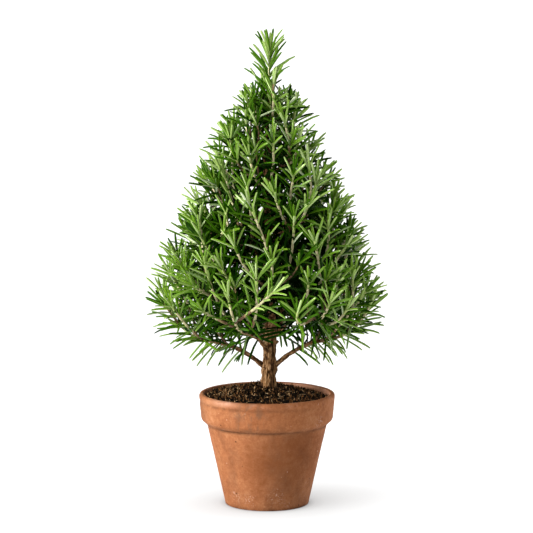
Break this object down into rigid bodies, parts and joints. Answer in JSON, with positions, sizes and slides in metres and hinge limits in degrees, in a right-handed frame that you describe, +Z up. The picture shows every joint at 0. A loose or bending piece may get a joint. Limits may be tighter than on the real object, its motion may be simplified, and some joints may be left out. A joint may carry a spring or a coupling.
{
  "type": "potted rosemary topiary",
  "caption": "Rosemary shrub trained as a slender cone on one barked trunk, with needle-leaved boughs all round it, growing in a tapered clay pot with a banded rim.",
  "frame": {"origin": "middle of the pot's flat underside, on the surface that it stands on", "axes": "+Z up along the pot's axis, the lowest pair of boughs along X, the view of the picture looks along +Y"},
  "size_m": [0.2557, 0.2514, 0.4871],
  "materials": {
    "clay": "unglazed, weathered, with pale bloom",
    "soil": "crumbly and matt",
    "bark": "rough and fissured",
    "needles": "satin"
  },
  "bodies": {
    "root": {"pot": "clay", "soil": "soil", "trunk": "bark", "bough_01_a": "bark", "bough_01_b": "bark", "bough_02_a": "bark", "bough_02_b": "bark", "bough_03_a": "bark", "bough_03_b": "bark", "bough_04_a": "bark", "bough_04_b": "bark", "bough_05_a": "bark", "bough_05_b": "bark", "bough_06_a": "bark", "bough_06_b": "bark", "bough_07_a": "bark", "bough_07_b": "bark", "foliage_01_a": "needles", "foliage_01_b": "needles", "foliage_02_a": "needles", "foliage_02_b": "needles", "foliage_03_a": "needles", "foliage_03_b": "needles", "foliage_04_a": "needles", "foliage_04_b": "needles", "foliage_05_a": "needles", "foliage_05_b": "needles", "foliage_06_a": "needles", "foliage_06_b": "needles", "foliage_07_a": "needles", "foliage_07_b": "needles", "foliage_08_a": "needles", "foliage_08_b": "needles", "foliage_09_a": "needles", "foliage_09_b": "needles", "foliage_10_a": "needles", "foliage_10_b": "needles", "foliage_11_a": "needles", "foliage_11_b": "needles", "foliage_12_a": "needles", "foliage_12_b": "needles", "foliage_13_a": "needles", "foliage_13_b": "needles", "foliage_tip": "needles"}
  },
  "joints": []
}
